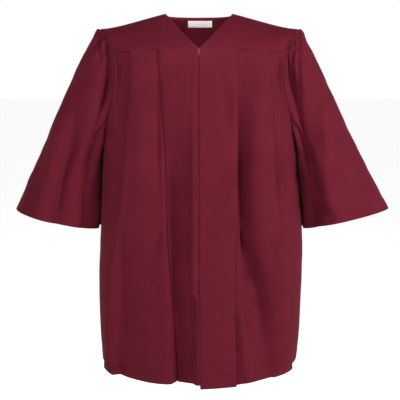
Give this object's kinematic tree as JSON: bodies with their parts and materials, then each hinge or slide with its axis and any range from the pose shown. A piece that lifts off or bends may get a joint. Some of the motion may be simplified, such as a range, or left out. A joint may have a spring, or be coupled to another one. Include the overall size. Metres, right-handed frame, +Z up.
{
  "type": "graduation gown",
  "caption": "Open-sleeved pleated gown for a child, worn shape and hollow, with a V neck, yokes and a zip down the front.",
  "frame": {"origin": "middle of the neck opening, level with the points where the neckline meets the shoulder seams, where the wearer's shoulders hold the gown up", "axes": "+Z up, -Y out of the front, +X to the right seen from the front; left and right in names are the viewer's"},
  "size_m": [0.7551, 0.249, 0.729],
  "materials": {
    "gown_cloth": "matte woven polyester, maroon",
    "tape": "woven polyester tape and moulded zip teeth, maroon",
    "label": "white woven satin, bare",
    "zip_metal": "zinc die casting lacquered in the maroon of the gown"
  },
  "bodies": {
    "gown": {"front_left": "gown_cloth", "front_right": "gown_cloth", "back": "gown_cloth", "yoke_front_left": "gown_cloth", "yoke_front_right": "gown_cloth", "yoke_back": "gown_cloth", "sleeve_left": "gown_cloth", "sleeve_right": "gown_cloth", "neck_tape": "tape", "zip_tape_left": "tape", "zip_tape_right": "tape", "zip_chain": "tape", "label": "label", "zip_slider": "zip_metal", "zip_stop": "zip_metal"},
    "pull_tab": {"pull_tab": "zip_metal"}
  },
  "joints": [
    {"name": "pull_tab_swing", "type": "hinge", "parent": "gown", "child": "pull_tab", "pos_m": [0, -0.08701, -0.06935], "axis": [-1, 0, 0], "range_deg": [0, 170]}
  ]
}
